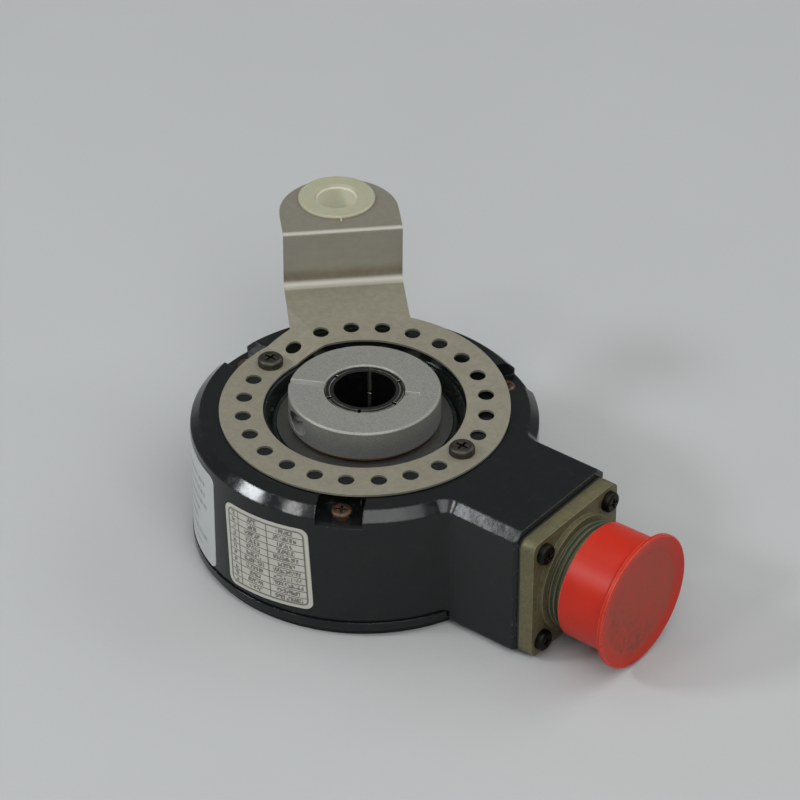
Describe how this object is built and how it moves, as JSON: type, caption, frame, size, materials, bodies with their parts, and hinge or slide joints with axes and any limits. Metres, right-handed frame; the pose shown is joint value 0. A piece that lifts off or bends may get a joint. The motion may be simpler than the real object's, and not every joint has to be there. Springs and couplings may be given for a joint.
{
  "type": "rotary encoder",
  "caption": "Hollow-shaft rotary encoder: a flat round case with a clamp collar, a perforated spring tether with a bent arm, and a capped round threaded connector.",
  "frame": {"origin": "on the shaft's axis, in the face of the case that the tether is screwed to", "axes": "+Z along the shaft towards the motor side, +X out of the connector"},
  "size_m": [0.1451, 0.1023, 0.0611],
  "materials": {
    "case_paint": "satin",
    "gasket_rubber": "matte",
    "seal_rubber": "matte",
    "zinc_screw": "worn",
    "dark_screw": "satin",
    "tether_steel": "satin",
    "nylon": "satin",
    "carrier_aluminium": "satin",
    "collar_aluminium": "matte",
    "black_oxide": "satin",
    "insert_steel": "satin",
    "copper": "satin",
    "disc_glass": "polished",
    "bearing_steel": "polished",
    "cage_steel": "satin",
    "spring_steel": "satin",
    "board_green": "satin",
    "chip_black": "matte",
    "header_plastic": "satin",
    "standoff_brass": "satin",
    "head_plastic": "matte",
    "lamp_epoxy": "polished",
    "gold_pin": "polished",
    "olive_shell": "matte",
    "insert_rubber": "matte",
    "wire_jacket": "satin",
    "cap_red": "worn",
    "label_film": "satin",
    "label_foil": "satin"
  },
  "bodies": {
    "stator": {"housing": "case_paint", "base_plate": "case_paint", "base_gasket": "gasket_rubber", "case_screws": "zinc_screw", "tether_plate": "tether_steel", "tether_screws": "dark_screw", "tether_bushing": "nylon", "outer_spacer": "bearing_steel", "carrier_circlip": "spring_steel", "bearing_carrier": "carrier_aluminium", "carrier_screws": "dark_screw", "upper_shaft_seal": "seal_rubber", "lower_shaft_seal": "seal_rubber", "main_board": "board_green", "board_chips": "chip_black", "board_header": "header_plastic", "board_standoffs": "standoff_brass", "board_screws": "dark_screw", "read_head_frame": "head_plastic", "emitter_led": "lamp_epoxy", "sensor_board": "board_green", "photo_sensor": "chip_black", "reticle": "disc_glass", "link_pins": "gold_pin", "connector_gasket": "gasket_rubber", "connector_shell": "olive_shell", "connector_insert": "insert_rubber", "connector_pins": "gold_pin", "connector_wires": "wire_jacket", "flange_screws": "dark_screw", "wiring_label": "label_film", "rating_label": "label_foil", "upper_outer_race": "bearing_steel", "lower_outer_race": "bearing_steel"},
    "rotor": {"hollow_shaft": "black_oxide", "bore_insert": "insert_steel", "clamp_collar": "collar_aluminium", "clamp_screw": "dark_screw", "slinger": "copper", "code_disc": "disc_glass", "disc_clamp": "carrier_aluminium", "inner_spacer": "bearing_steel", "shaft_circlip": "spring_steel", "upper_inner_race": "bearing_steel", "lower_inner_race": "bearing_steel"},
    "upper_ball_set": {"upper_bearing_cage": "cage_steel", "upper_bearing_balls": "bearing_steel"},
    "lower_ball_set": {"lower_bearing_cage": "cage_steel", "lower_bearing_balls": "bearing_steel"},
    "cap": {"dust_cap": "cap_red"}
  },
  "joints": [
    {"name": "shaft_spin", "type": "hinge", "parent": "stator", "child": "rotor", "pos_m": [0, 0, 0], "axis": [0, 0, 1], "continuous": true},
    {"name": "upper_ball_orbit", "type": "hinge", "parent": "stator", "child": "upper_ball_set", "pos_m": [0, 0, 0], "axis": [0, 0, 1], "continuous": true},
    {"name": "lower_ball_orbit", "type": "hinge", "parent": "stator", "child": "lower_ball_set", "pos_m": [0, 0, 0], "axis": [0, 0, 1], "continuous": true},
    {"name": "cap_pull", "type": "slide", "parent": "stator", "child": "cap", "axis": [1, 0, 0], "range_m": [0, 0.03]}
  ],
  "couplings": [
    {"joint": "upper_ball_orbit", "follows": "shaft_spin", "ratio": 0.44355},
    {"joint": "lower_ball_orbit", "follows": "shaft_spin", "ratio": 0.44355}
  ]
}
